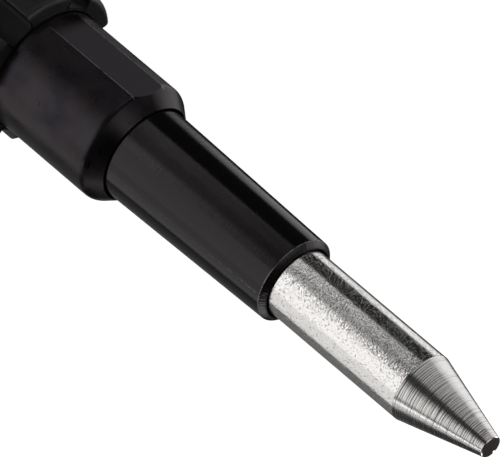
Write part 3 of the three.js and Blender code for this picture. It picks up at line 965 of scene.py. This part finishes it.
def cap_outline():
    start, end = front("adjusting_cap"), rear("adjusting_cap")
    skirt_bore = radius("cap_o_ring") + 0.15 * MM
    bore = radius("cap_thread_insert") + 0.1 * MM
    ledge = front("cap_thread_insert") + 0.2 * MM
    bottom = rear("thrust_disc") - 0.2 * MM
    lift = [(FLUTE_START - FLUTE_LIFT * part / LIFT_STEPS, CAP_RADIUS) for part in range(LIFT_STEPS + 1)]
    lifted = FLUTE_START - FLUTE_LIFT
    along = end + CAP_ROUND - lifted
    side = [(lifted + along * part / CAP_STEPS, CAP_RADIUS) for part in range(1, CAP_STEPS)]
    rounding = [
        (end + CAP_ROUND * (1 - math.sin(a)), CAP_RADIUS - CAP_ROUND * (1 - math.cos(a)))
        for a in (math.pi / 2 * part / CAP_STEPS for part in range(CAP_STEPS + 1))
    ]
    return [
        (bottom, 0.0),
        (bottom, bore),
        (ledge, bore),
        (ledge, skirt_bore),
        (start, skirt_bore),
        (start, CAP_RADIUS - CAP_CHAMFER),
        (start - CAP_CHAMFER, CAP_RADIUS),
        *lift,
        *side,
        *rounding,
        (end, 0.0),
    ]


print(f"cap {2 * CAP_RADIUS / MM:.1f} mm across")

# %% Fluted cap
FLUTES = 12
CUTTER_RADIUS = 1.1 * MM
FLUTE_DEPTH = 0.45 * MM
CAP_TURNED_STEPS = 360


def flute(shape):
    for vert in shape.verts:
        out = vert.co.yz.length
        if vert.co.x > FLUTE_START or out < CAP_RADIUS - CAP_ROUND:
            continue
        lifted = min(1.0, (FLUTE_START - vert.co.x) / FLUTE_LIFT)
        depth = FLUTE_DEPTH * math.sin(math.pi / 2 * lifted)
        centre = CAP_RADIUS + CUTTER_RADIUS - depth
        pitch = math.tau / FLUTES
        angle = math.atan2(vert.co.y, vert.co.z) % pitch - pitch / 2
        across = centre * math.sin(angle)
        if abs(across) < CUTTER_RADIUS:
            reach = centre * math.cos(angle) - math.sqrt(CUTTER_RADIUS**2 - across**2)
            vert.co.yz *= min(1.0, reach / out)


cap = turned(cap_outline(), steps=CAP_TURNED_STEPS)
flute(cap)
finished("fluted_cap", cap, "adjusting_cap", sharp=math.radians(35))

# %% [markdown]
# ## The springs
#
# Both coil springs are round wire with closed ends. The return spring sits on the washer and is
# pressed by the point. The main spring is pressed from both sides: by the hammer as the tool is
# pushed down, and by the cap as the blow is set. So it is made in two lengths that meet where the
# wire never moves, and each length rides on a body of its own.

# %% A coil of wire
WIRE_SIDES = 12
COIL_STEPS = 28


def wire_coil(name, start, end, outer, wire, turns, body, node):
    """A helix of round wire between two stations, swept by a spin that also steps along the axis."""
    shape = bmesh.new()
    made = bmesh.ops.create_circle(shape, cap_ends=True, radius=wire / 2, segments=WIRE_SIDES)
    facing = Matrix.Rotation(math.pi / 2, 3, "X")
    bmesh.ops.rotate(shape, verts=made["verts"], cent=(0, 0, 0), matrix=facing)
    bmesh.ops.translate(shape, verts=made["verts"], vec=(start, 0, outer - wire / 2))
    count = int(turns * COIL_STEPS)
    bmesh.ops.spin(
        shape,
        geom=shape.faces[:],
        cent=(0, 0, 0),
        axis=(1, 0, 0),
        dvec=((end - start) / count, 0, 0),
        angle=math.tau * turns,
        steps=count,
        use_merge=False,
    )
    bmesh.ops.recalc_face_normals(shape, faces=shape.faces[:])
    return finished(name, shape, node, body=body)


def press(coil, joint, length):
    """Gives the coil its own mesh and prints its length and how far the joint travels; the coil itself is
    not shortened.
    """
    (length - travel(joint)) / length
    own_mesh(coil)
    print(f"{coil.name} is {length / MM:.1f} mm long and loses {travel(joint) / MM:.1f} mm")


# %% Return spring
SPRING_OUTER = radius("return_spring")
RETURN_WIRE = 0.6 * MM
RETURN_TURNS = 6
return_front, return_rear = front("return_spring"), rear("return_spring")
coil = wire_coil(
    "return_spring_wire",
    return_front - RETURN_WIRE / 2,
    return_rear + RETURN_WIRE / 2,
    SPRING_OUTER,
    RETURN_WIRE,
    RETURN_TURNS,
    "root",
    "return_spring",
)
press(coil, "point_press", return_front - return_rear)

# %% Main spring, in two lengths
MAIN_WIRE = 0.9 * MM
FRONT_TURNS = 6
REAR_TURNS = 3
main_front, main_rear = front("main_spring"), rear("main_spring")
still = main_front - (main_front - main_rear) * FRONT_TURNS / (FRONT_TURNS + REAR_TURNS)
coil = wire_coil(
    "main_spring_front",
    main_front - MAIN_WIRE / 2,
    still,
    SPRING_OUTER,
    MAIN_WIRE,
    FRONT_TURNS,
    "hammer",
    "main_spring",
)
press(coil, "hammer_cock", main_front - still)
coil = wire_coil(
    "main_spring_rear",
    still,
    main_rear + MAIN_WIRE / 2,
    SPRING_OUTER,
    MAIN_WIRE,
    REAR_TURNS,
    "seat",
    "main_spring",
)
press(coil, "cap_advance", still - main_rear)

# %% [markdown]
# ## The catch's leaf spring
#
# A strip of spring steel lies in the catch's slot, with its ends on the catch and its middle on
# the bush. It flattens as the bush's taper centres the catch. A flat grid is bowed by a formula
# and extruded to its thickness.

# %% Catch leaf spring
LEAF_THICKNESS = 0.2 * MM
leaf_low, leaf_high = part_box("catch_leaf_spring")
leaf_size = leaf_high - leaf_low
leaf_rise = leaf_size.z - LEAF_THICKNESS
leaf_middle = (leaf_low.x + leaf_high.x) / 2
leaf = bmesh.new()
bmesh.ops.create_grid(leaf, x_segments=24, y_segments=4, size=1.0)
for vert in leaf.verts:
    along, sideways = vert.co.x, vert.co.y
    height = leaf_low.z + LEAF_THICKNESS + leaf_rise * along**2 - AXIS_HEIGHT
    vert.co = (leaf_middle + along * leaf_size.x / 2, sideways * leaf_size.y / 2, height)
made = bmesh.ops.extrude_face_region(leaf, geom=leaf.faces[:])["geom"]
under = [g for g in made if isinstance(g, bmesh.types.BMVert)]
bmesh.ops.translate(leaf, verts=under, vec=(0, 0, -LEAF_THICKNESS))
bmesh.ops.recalc_face_normals(leaf, faces=leaf.faces[:])
strip = finished("catch_leaf_strip", bevelled(leaf, EDGE_WIDTH), "catch_leaf_spring")
pinch = 2 * travel("catch_centre")  # the catch sinks, and the bush's bore narrows by as much
(leaf_size.z - pinch) / leaf_size.z
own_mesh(strip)

# %% [markdown]
# ## Floor, world and lights
#
# Polished metal shows its surroundings, so the lights are laid out by what the tool should
# reflect. Each light is a long panel beside the tool, facing its axis. Its place is an angle
# about the axis, measured from the camera's side, and a stretch along the axis. A gap between two
# panels is a dark line on the steel. The floor is a bright plain surface. It is kept out of the
# reflections, so that the dark lower edge of the rod stays dark. The world is bright only to the
# camera's own rays, for the same reason.

# %% Floor and world
FLOOR_HALF = 4.0
FLOOR_CELLS = 8
sheet = bmesh.new()
bmesh.ops.create_grid(sheet, x_segments=FLOOR_CELLS, y_segments=FLOOR_CELLS, size=FLOOR_HALF)
floor_mesh = bpy.data.meshes.new("floor")
sheet.to_mesh(floor_mesh)
sheet.free()
floor = bpy.data.objects.new("floor", floor_mesh)
bpy.context.scene.collection.objects.link(floor)
paper = bpy.data.materials.new("white_paper")
paper.use_nodes = True
paper_surface = paper.node_tree.nodes["Principled BSDF"]
paper_surface.inputs["Base Color"].default_value = (0.8, 0.8, 0.8, 1.0)
paper_surface.inputs["Roughness"].default_value = 0.9
paper_surface.inputs["Emission Color"].default_value = (1.0, 1.0, 1.0, 1.0)
paper_surface.inputs["Emission Strength"].default_value = 0.9
floor.data.materials.append(paper)
floor.visible_glossy = False
floor.visible_diffuse = False
floor.visible_shadow = False

WORLD_SEEN = 0.95
WORLD_REFLECTED = 0.012
world = bpy.data.worlds.new("studio")
world.use_nodes = True
bpy.context.scene.world = world
studio = Graph(world.node_tree)
seen = studio.node("ShaderNodeLightPath", output="Is Camera Ray")
sky = world.node_tree.nodes["Background"]
studio.plug(sky.inputs["Strength"], WORLD_REFLECTED + seen * (WORLD_SEEN - WORLD_REFLECTED))
studio.plug(sky.inputs["Color"], (1.0, 1.0, 1.0, 1.0))
print("floor and world ready")

# %% Panels of light
PANEL_REACH = 0.6  # from the tool's axis to each panel
camera_side = math.radians(90) - math.atan2(towards_camera.z, towards_camera.y)
across = Vector((0, math.sin(camera_side), math.cos(camera_side)))
beside = Vector((0, math.cos(camera_side), -math.sin(camera_side)))


def panel(name, low, high, back, ahead, radiance):
    """A panel between two angles about the axis and two stations along it."""
    middle, half = math.radians(low + high) / 2, math.radians(high - low) / 2
    outward = across * math.cos(middle) + beside * math.sin(middle)
    light = bpy.data.lights.new(name, "AREA")
    light.shape = "RECTANGLE"
    light.size = ahead - back
    light.size_y = 2 * PANEL_REACH * math.tan(half)
    light.energy = radiance * math.pi * light.size * light.size_y
    lamp = bpy.data.objects.new(name, light)
    along = Vector((1, 0, 0))
    turn = Matrix((along, outward.cross(along), outward)).transposed()
    place = outward * PANEL_REACH + along * (back + ahead) / 2 + Vector((0, 0, AXIS_HEIGHT))
    lamp.matrix_world = Matrix.Translation(place) @ turn.to_4x4()
    lamp.visible_camera = False
    bpy.context.scene.collection.objects.link(lamp)
    print(f"{name}: {light.size:.2f} by {light.size_y:.2f} m")


panel("key_rear", -62, -14, -0.75, -0.16, 1.20)
panel("key_fade", -14, -4, -0.34, -0.279, 2.60)
panel("key_edge", -4, 3, -0.33, -0.279, 3.00)
panel("fill_edge", 3, 9, -0.32, -0.279, 2.30)
panel("fill_rear", 9, 34, -0.31, -0.279, 1.58)
panel("fill_rear_high", 34, 62.5, -0.31, -0.279, 2.05)
panel("key_low_rear", -108, -62, -0.75, -0.16, 0.90)
panel("under_rear", -178, -114, -0.75, -0.16, 0.15)
panel("key_front", -65, -26, -0.16, 0.10, 0.92)
panel("key_front_edge", -26, -13, -0.16, 0.08, 0.50)
panel("key_line", -83, -76, -0.16, 0.10, 2.2)
panel("key_low_front", -100, -85, -0.16, 0.10, 0.60)
panel("fill_front", 15, 84, -0.16, 0.09, 0.46)
panel("side_front", 84, 99, -0.16, 0.12, 0.80)
panel("sweep", 112.5, 144, -0.309, -0.268, 1.08)
panel("sweep_sleeve", 112, 144, -0.268, -0.16, 1.10)
panel("sweep_front", 99, 146, -0.16, 0.5, 1.00)
panel("under_front", -146, -112, 0.16, 0.5, 2.4)
panel("mouth_front", 118, 146, 0.16, 0.5, 1.6)
panel("rim_front", 8, 84, 0.55, 1.4, 1.6)
